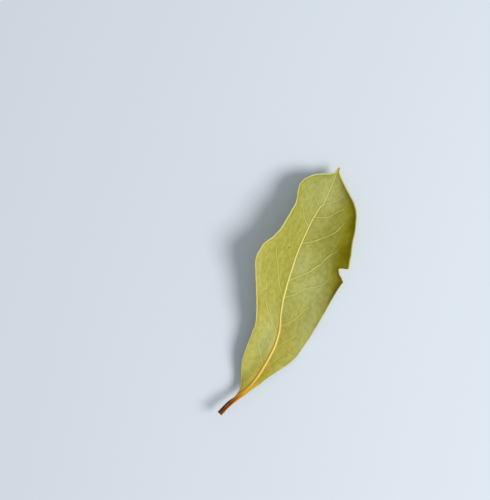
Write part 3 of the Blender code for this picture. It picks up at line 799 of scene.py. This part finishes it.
def face_points(at, upper):
    """Points of one face: the middle plane moved along its normal by half the thickness, and rippled.

    The thickness is rounded off at the rim, and grows by round humps at the edge's cord and on the
    veins. The midrib's top is a circle on the stalk and the square of a parabola on the blade. Its
    keel is a blunter oval. No point of the underside lies below the surface under the leaf.
    """
    middle = at.middle
    normal = normals(at.line, at.side)
    off_rib = np.abs(at.off_rib)
    rim_share = np.clip(at.off_edge / RIM_ROUNDING, 0, 1)
    rim = np.sqrt(1 - (1 - rim_share) ** 2)
    half = curve(at.along, BLADE_HALF)
    half = half + EDGE_CORD_HALF * (1 - at.on_stalk) * hump(at.off_edge, EDGE_CORD_WIDTH)
    main_ridges = at.vein_bold * hump(at.vein_off, VEIN_HALF_WIDTH)
    thin_ridges = THIN_VEIN_SHARE * at.thin_bold * hump(at.thin_off, VEIN_HALF_WIDTH)
    ridges = VEIN_HEIGHT * np.maximum(main_ridges, thin_ridges)
    wrinkle = lumps(at.side * WRINKLES_ROUND, at.along * WRINKLES_ALONG, 1.0, WRINKLE_SEED)
    wrinkle = STALK_WRINKLE * at.on_stalk * wrinkle
    if upper:
        rib = curve(at.along, RIB_TOP)
        round_top = np.sqrt(1 - np.clip(off_rib / at.rib_width, 0, 1) ** 2)
        soft_top = (1 - np.clip(off_rib / (RIDGE_FOOT * at.rib_width), 0, 1) ** 2) ** 2
        on_rib = at.on_stalk * round_top + (1 - at.on_stalk) * soft_top
        groove = GROOVE_DEPTH * at.on_stalk * hump(at.off_rib, GROOVE_SHARE * at.rib_width)
        thickness = half + (rib - half) * on_rib - groove + ridges * (1 - on_rib)
        return middle + normal * ((thickness + wrinkle) * rim + ripples(at))[..., None]
    keel = curve(at.along, KEEL_DEPTH)
    keel_width = at.rib_width + KEEL_WIDER * (1 - at.on_stalk)
    on_keel = np.sqrt(1 - np.clip(off_rib / keel_width, 0, 1) ** KEEL_POWER)
    thickness = half + (keel - half) * on_keel + UNDERSIDE_VEINS * ridges * (1 - on_keel)
    points = middle - normal * ((thickness + wrinkle) * rim - ripples(at))[..., None]
    points[..., 2] = np.maximum(points[..., 2], 0.0)
    return points


def margin(at, on_right, strength, across, along):
    """Share of a strip along one edge: eased in towards the edge, and a hill along the leaf."""
    share = strength * ease(at.off_edge, *across) * hill(at.along, *along)
    return np.where(at.right == on_right, share, 0.0)


def face_facts(at, upper):
    """The numbers that the material reads at each point of one face, by name.

    What two shares of a tint leave over is the product of what each leaves over. The distances
    called off change sign across their line, so that the material finds the line between points.
    """
    tints = {name: tint(name, at.across, at.along) for name in PATCHES}
    # The brown tint takes in the brown margin, which is partly painted shade, and the strip of painted shade
    # left of the midrib.
    brown = margin(at, True, *BROWN_AND_SHADE_MARGIN) * (1 - tints.pop("spared"))
    strength, across, along = RIB_SHADE_STRIP
    strip = strength * hill(-at.off_rib, *across) * hill(at.along, *along)
    tints["browned"] = 1 - (1 - tints["browned"]) * (1 - brown) * (1 - strip)
    tints["paled_and_lit"] = 1 - (1 - tints["paled_and_lit"]) * (1 - margin(at, False, *PALE_MARGIN))
    line_bold = np.where(at.right, ease(at.along, *RIGHT_LINE_START), LEFT_LINE_BOLDNESS)
    line_life = lumps(at.side * LINE_LIFE_APART, at.along, LINE_LIFE_LENGTH, LINE_LIFE_SEED)
    return {
        **tints,
        "cross_line": at.line,
        "off_rib": at.off_rib,
        "off_rib_share": at.off_rib / at.rib_width,
        "off_vein": at.vein_off,
        "vein_bold": at.vein_bold,
        "off_thin_vein": at.thin_off,
        "thin_vein_bold": at.thin_bold,
        "from_edge": at.off_edge,
        "off_tear": off_tear(at.across, at.along),
        "edge_line": at.off_edge / np.where(at.right, RIGHT_LINE_WIDTH, LEFT_LINE_WIDTH),
        "edge_bold": line_bold * (LINE_LIFE_MIDDLE + LINE_LIFE_SWING * line_life),
        "rim_shade": sum(margin(at, True, *rim) for rim in DARK_RIMS),
        "underside": np.full_like(at.line, 0.0 if upper else 1.0),
        "cut_end": np.zeros_like(at.line),
    }


def cross_lines():
    """Starts of the cross lines on the midrib, with an equal share of the density between each two.

    The density is how fast the lines part where they part most, on the midrib or at an edge. It is
    raised in the notch, and by a round hump at the start of each side vein.
    """
    ruler = np.linspace(0.0, LEAF_LENGTH, RULER_SPOTS)
    meets = [place_along(ruler, np.full_like(ruler, side)) for side in (-1.0, 0.0, 1.0)]
    spread = np.max([np.gradient(place, ruler) for place in meets], axis=0)
    starts = np.array([spots[0][1] for _, spots in LEFT_VEINS + RIGHT_VEINS])
    crowd = hump(ruler[:, None] - starts, VEIN_CROWD).sum(axis=1)
    at_edge = meets[2]
    in_notch = (at_edge > NOTCH[0][0] - NOTCH_MARGIN) & (at_edge < NOTCH[-1][0] + NOTCH_MARGIN)
    density = spread * (1 + NOTCH_DENSITY * in_notch) + VEIN_DENSITY * crowd
    passed = np.concatenate([[0.0], np.cumsum((density[1:] + density[:-1]) / 2)])
    return np.interp(np.linspace(0.0, passed[-1], ROWS), passed, ruler)


def columns(lines, counts):
    """Shares of the way out for each cross line, close together on the midrib and round the rim.

    The steps are even on the ridge, even over the blade, and follow the sine of even angles at the rim.
    """
    inner_count, outer_count, rim_count = counts
    shares = []
    for edge in (LEFT_EDGE, RIGHT_EDGE):
        width = np.abs(curve(lines, edge) - curve(lines, MIDRIB_ACROSS))[:, None]
        keel = (curve(lines, RIB_HALF_WIDTH) + KEEL_WIDER)[:, None]
        inner_end = np.minimum(INNER_KEELS * keel / width, INNER_SHARE_LIMIT)
        rim_start = 1 - np.minimum(RIM_ROUNDING / width, RIM_SHARE_LIMIT)
        inner = inner_end * np.linspace(0.0, 1.0, inner_count, endpoint=False)
        outer = inner_end + (rim_start - inner_end) * np.linspace(0.0, 1.0, outer_count, endpoint=False)
        rim = rim_start + (1 - rim_start) * np.sin(np.linspace(0.0, np.pi / 2, rim_count))
        shares.append(np.concatenate([inner, outer, rim], axis=1))
    left, right = shares
    return np.concatenate([-left[:, :0:-1], right], axis=1)


def cap(values, end, way, dome):
    """Rings that close an end: its ring shrunk to the middle and pushed the way out along a round dome.

    The push is the dome's height times the root of 1 less the square of the ring's size.
    """
    rings = {name: np.repeat(value[end][None], len(CAP_SHARES), axis=0) for name, value in values.items()}
    ring = values["points"][end]
    centre = ring.mean(axis=0)
    push = dome * np.sqrt(1 - CAP_SHARES ** 2)
    rings["points"] = centre + (ring - centre) * CAP_SHARES[:, None, None] + way * push[:, None, None]
    return rings


def leaf_skin():
    """The closed skin as values by name: rings from the upper face over the right rim to the lower face."""
    lines = cross_lines()
    upper_side = columns(lines, UPPER_COLUMNS)
    lower_side = columns(lines, LOWER_COLUMNS)[:, -2:0:-1]
    faces = []
    for side, upper in ((upper_side, True), (lower_side, False)):
        at = Spots(np.repeat(lines[:, None], side.shape[1], axis=1), side)
        face = face_facts(at, upper)
        face["points"] = face_points(at, upper)
        face["flat"] = np.stack([at.flat_x, face["points"][..., 1]], axis=-1)
        faces.append(face)
    values = {name: np.concatenate([face[name] for face in faces], axis=1) for name in faces[0]}
    stalk = cap(values, 0, STALK_WAY, STALK_DOME)
    stalk["cut_end"] = np.repeat(1 - CAP_SHARES[:, None], stalk["cut_end"].shape[1], axis=1)
    tip = cap(values, -1, TIP_WAY, TIP_DOME)
    return {name: np.concatenate([stalk[name][::-1], values[name], tip[name]]) for name in values}


def per_vertex(value):
    """A value of the rings in the order of the mesh: each shrunk end ring is a single point there."""
    return np.concatenate([value[:1, 0], value[1:-1].reshape(-1, *value.shape[2:]), value[-1:, 0]])


def skin_mesh(name, values):
    """Mesh of the rings: quads between neighbours, and a fan round the point at each end."""
    points = values.pop("points")
    ring_count, round_count = points.shape[:2]
    vertices = per_vertex(points)
    row = np.arange(ring_count - 3)[:, None] * round_count
    column = np.arange(round_count)[None]
    after = (column + 1) % round_count
    near = 1 + row
    far = near + round_count
    quads = np.stack([near + column, near + after, far + after, far + column], axis=-1).reshape(-1, 4)
    last = len(vertices) - 1
    last_row = last - round_count
    first_fan = np.stack([np.zeros(round_count, int), 1 + after[0], 1 + column[0]], axis=-1)
    last_fan = np.stack([np.full(round_count, last), last_row + column[0], last_row + after[0]], axis=-1)
    placed = (vertices - np.array([BOX_MIDDLE_X, BOX_MIDDLE_Y, 0.0])) * MM
    mesh = bpy.data.meshes.new(name)
    faces = quads.tolist() + first_fan.tolist() + last_fan.tolist()
    mesh.from_pydata(placed.tolist(), [], faces, shade_flat=False)
    corners = np.concatenate([quads.ravel(), first_fan.ravel(), last_fan.ravel()])
    flat = per_vertex(values.pop("flat"))
    layer = mesh.uv_layers.new(name="pressed_flat")
    layer.uv.foreach_set("vector", (flat[corners] / MAP_UNIT).astype(np.float32).ravel())
    for key, value in values.items():
        attribute = mesh.attributes.new(key, "FLOAT", "POINT")
        attribute.data.foreach_set("value", per_vertex(value).astype(np.float32))
    mesh.validate()
    return mesh


class Nodes:
    """Short calls for building one material's node tree, and its patterns by name."""

    def __init__(self, material):
        self.tree = material.node_tree
        self.patterns = {}

    def add(self, kind, inputs=None, **settings):
        """A new node with its settings, and its inputs linked or set."""
        node = self.tree.nodes.new(kind)
        for key, value in settings.items():
            setattr(node, key, value)
        for key, value in (inputs or {}).items():
            self.feed(node.inputs[key], value)
        return node

    def feed(self, socket, value):
        """Links a socket to another one, or sets its value."""
        if isinstance(value, bpy.types.NodeSocket):
            self.tree.links.new(value, socket)
        else:
            socket.default_value = value

    def read(self, name):
        """A pattern by its name, or else the number kept at each point of the mesh under that name."""
        if name not in self.patterns:
            node = self.add("ShaderNodeAttribute", attribute_name=name, attribute_type="GEOMETRY")
            self.patterns[name] = node.outputs["Fac"]
        return self.patterns[name]

    def math(self, operation, first, second=0.0, third=0.0):
        """Values joined by one operation."""
        inputs = {0: first, 1: second, 2: third}
        return self.add("ShaderNodeMath", inputs, operation=operation).outputs[0]

    def vector(self, operation, inputs, output="Vector"):
        """Vectors joined by one operation."""
        return self.add("ShaderNodeVectorMath", inputs, operation=operation).outputs[output]

    def fall(self, value, full, none):
        """1 up to full, 0 from none on, and smooth between."""
        inputs = {"Value": value, "From Min": full, "From Max": none, "To Min": 1.0, "To Max": 0.0}
        return self.add("ShaderNodeMapRange", inputs, interpolation_type="SMOOTHSTEP").outputs["Result"]

    def mix(self, share, first, second, blend="MIX"):
        """The first colour, changed by the share to the second one, or to what the blend makes of both."""
        node = self.add("ShaderNodeMix", data_type="RGBA", blend_type=blend)
        self.feed(node.inputs["Factor"], share)
        self.feed(node.inputs["A"], self.colour(first))
        self.feed(node.inputs["B"], self.colour(second))
        return node.outputs["Result"]

    def colour(self, value):
        """A colour as a socket takes it: three shares get a fourth of 1."""
        return (*value, 1.0) if isinstance(value, tuple) else value

    def share(self, most, *follows):
        """How much a layer covers: the most times all that it follows."""
        for item in follows:
            value = self.read(item) if isinstance(item, str) else self.fall(self.read(item[0]), *item[1:])
            most = self.math("MULTIPLY", value, most)
        return most

    def layers(self, base, rows):
        """A colour with layers of others over it, the lowest first."""
        for colour, *area in rows:
            base = self.mix(self.share(*area), base, colour)
        return base

    def noise(self, flat, size, detail=2.0, rough=0.5, output="Fac"):
        """Random value about 0.5 on the blade pressed flat, with patches of that size in millimetres."""
        inputs = {"Vector": flat, "Scale": MAP_UNIT / size, "Detail": detail, "Roughness": rough}
        return self.add("ShaderNodeTexNoise", inputs, noise_dimensions="2D").outputs[output]


def leaf_patterns(nodes, flat):
    """Names the patterns that the leaf's colours follow, besides the numbers kept on the mesh.

    The streaks read the cross lines, so that they run beside the veins. The net's lines are bent
    by a random wave, and the fibres are drawn out along the stalk.
    """
    off_rib = nodes.read("off_rib")
    for name in ("rib", "rib_share", "vein", "thin_vein", "tear"):
        nodes.patterns["from_" + name] = nodes.math("ABSOLUTE", nodes.read("off_" + name))
    place = nodes.add("ShaderNodeSeparateXYZ", {"Vector": flat}).outputs["Y"]
    along = nodes.math("MULTIPLY", place, MAP_UNIT)
    on_right = nodes.math("GREATER_THAN", off_rib, 0.0)
    line = nodes.math("MULTIPLY", nodes.read("cross_line"), 1 / MAP_UNIT)
    out = nodes.math("MULTIPLY", off_rib, STREAK_PACE / MAP_UNIT)
    with_veins = nodes.add("ShaderNodeCombineXYZ", {"X": line, "Y": out}).outputs["Vector"]
    bark = {"Vector": flat, "Scale": (1.0, FIBRE_PACE, 1.0)}
    bark = nodes.add("ShaderNodeMapping", bark).outputs["Vector"]
    wave = {0: nodes.noise(flat, NET_WAVE_SIZE, output="Color"), 3: NET_WAVE_DEPTH / MAP_UNIT}
    bent = nodes.vector("ADD", {0: flat, 1: nodes.vector("SCALE", wave)})
    cells = {"Vector": bent, "Scale": MAP_UNIT / NET_CELL, "Randomness": NET_IRREGULAR}
    cells = nodes.add("ShaderNodeTexVoronoi", cells, feature="DISTANCE_TO_EDGE", voronoi_dimensions="2D")
    nodes.patterns.update({
        "along": along,
        "up_and_out": nodes.math("MULTIPLY_ADD", nodes.read("from_rib"), RUST_SLANT, along),
        "up_and_right": nodes.math("ADD", along, off_rib),
        "from_highlight_streak": nodes.math("ABSOLUTE", nodes.math("ADD", off_rib, HIGHLIGHT_STREAK_LEFT)),
        "rib_strength": nodes.math("MULTIPLY_ADD", nodes.fall(along, *RIB_PALES), 1 - RIB_PALEST,
                                   RIB_PALEST),
        "on_right": on_right,
        "on_left": nodes.math("SUBTRACT", 1.0, on_right),
        "not_brown_and_shade": nodes.math("SUBTRACT", 1.0, nodes.read("browned")),
        "clouds": nodes.noise(flat, *CLOUDS),
        "streaks": nodes.noise(with_veins, *STREAKS),
        "mottle": nodes.noise(flat, *MOTTLE),
        "grain": nodes.noise(flat, *GRAIN),
        "fibres": nodes.noise(bark, *FIBRES),
        "from_cell_edge": cells.outputs["Distance"],
    })


def upper_colour(nodes, flat):
    """Colour of the upper face: clouds, tints and a fine net, then veins, edges, tear and small marks."""
    blade = nodes.layers(BLADE_OLIVE, BLADE_LAYERS)
    for name, shares in LEFT_BY_TINTS.items():
        blade = nodes.mix(nodes.read(name), blade, shares, "MULTIPLY")
    blade = nodes.layers(blade, VEIN_AND_EDGE_LAYERS)
    for across, along, radius, colour, strength in MARKS:
        spot = (across / MAP_UNIT, along / MAP_UNIT, 0.0)
        away = nodes.vector("DISTANCE", {0: flat, 1: spot}, "Value")
        mark = nodes.fall(away, MARK_CORE * radius / MAP_UNIT, radius / MAP_UNIT)
        blade = nodes.mix(nodes.math("MULTIPLY", mark, strength), blade, colour)
    return blade


def leaf_material():
    """Dried leaf: olive blade with pale veins over a paler underside, golden midrib and brown stalk."""
    material = bpy.data.materials.new("dried_leaf")
    material.use_nodes = True
    shader = material.node_tree.nodes["Principled BSDF"]
    nodes = Nodes(material)
    flat = nodes.add("ShaderNodeUVMap", uv_map="pressed_flat").outputs["UV"]
    leaf_patterns(nodes, flat)
    under = nodes.layers(UNDERSIDE, UNDERSIDE_LAYERS)
    rib = nodes.layers(RIB_PALE, RIB_LAYERS)
    stalk = nodes.layers(STALK_RUST, STALK_LAYERS)
    over_blade = [(under, *UNDERSIDE_AREA), (rib, *RIB_AREA), *BASE_LAYERS, (stalk, *STALK_AREA)]
    colour = nodes.layers(upper_colour(nodes, flat), over_blade)
    nodes.feed(shader.inputs["Base Color"], colour)
    smooth, rough = LEAF_ROUGHNESS
    roughness = {"Value": nodes.read("mottle"), "To Min": smooth, "To Max": rough}
    nodes.feed(shader.inputs["Roughness"], nodes.add("ShaderNodeMapRange", roughness).outputs["Result"])
    shader.inputs["Specular IOR Level"].default_value = LEAF_GLOSS
    relief = 0.0
    for area in BUMP_PARTS:
        relief = nodes.math("ADD", relief, nodes.share(*area))
    bump = {"Strength": BUMP_STRENGTH, "Distance": BUMP_DEPTH * MM, "Height": relief}
    nodes.feed(shader.inputs["Normal"], nodes.add("ShaderNodeBump", bump).outputs["Normal"])
    return material


def put(name, data):
    """A new object in the scene that holds the data."""
    thing = bpy.data.objects.new(name, data)
    bpy.context.scene.collection.objects.link(thing)
    return thing


def build_leaf():
    """The leaf's skin as one object, with its material."""
    mesh = skin_mesh("leaf", leaf_skin())
    mesh.materials.append(leaf_material())
    return put("leaf", mesh)


def build_floor():
    """A plain pale table top, a hair under the lowest point of the leaf."""
    half = FLOOR_HALF_SIZE
    level = -FLOOR_GAP * MM
    mesh = bpy.data.meshes.new("floor")
    corners = [(-half, -half, level), (half, -half, level), (half, half, level), (-half, half, level)]
    mesh.from_pydata(corners, [], [(0, 1, 2, 3)])
    material = bpy.data.materials.new("pale_floor")
    material.use_nodes = True
    shader = material.node_tree.nodes["Principled BSDF"]
    shader.inputs["Base Color"].default_value = FLOOR_COLOUR
    shader.inputs["Roughness"].default_value = FLOOR_ROUGHNESS
    shader.inputs["Specular IOR Level"].default_value = FLOOR_GLOSS
    mesh.materials.append(material)
    return put("floor", mesh)


def build_camera():
    """Camera over the leaf: its lens is to the sensor as its height over the leaf to the picture's there."""
    data = bpy.data.cameras.new("camera")
    data.sensor_fit = "VERTICAL"
    data.sensor_height = SENSOR
    data.lens = SENSOR * (CAMERA_HEIGHT - LEAF_LEVEL) / (PIXEL_SIZE * IMAGE_HEIGHT)
    data.clip_start = CAMERA_CLIP
    camera = put("camera", data)
    camera.location = (CAMERA_X, CAMERA_Y, CAMERA_HEIGHT)
    camera.rotation_euler = (0.0, 0.0, np.radians(CAMERA_TURN))
    bpy.context.scene.camera = camera


def build_light():
    """One broad soft light from the lower right of the picture and an even pale surround."""
    turn = np.radians(CAMERA_TURN) + np.arctan2(KEY_UP, KEY_RIGHT)
    elevation = np.radians(KEY_ELEVATION)
    level = np.cos(elevation)
    way = np.array([level * np.cos(turn), level * np.sin(turn), np.sin(elevation)])
    data = bpy.data.lights.new("key", "AREA")
    data.shape = "DISK"
    data.size = KEY_SIZE
    data.energy = KEY_POWER
    data.color = KEY_COLOUR
    key = put("key", data)
    key.location = way * KEY_DISTANCE
    key.rotation_euler = (0.0, np.pi / 2 - elevation, turn)
    world = bpy.data.worlds.new("surround")
    world.use_nodes = True
    background = world.node_tree.nodes["Background"]
    background.inputs["Color"].default_value = SURROUND_COLOUR
    background.inputs["Strength"].default_value = SURROUND_STRENGTH
    bpy.context.scene.world = world
    bpy.context.scene.view_settings.view_transform = "Standard"


def main():
    """Loads the frame, hides its leaf and dresses it with the new leaf, the table top, the camera and the
    light.
    """
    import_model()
    leaf = build_leaf()
    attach(leaf, "root")
    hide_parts("bay_leaf")
    build_floor()
    build_camera()
    build_light()


main()
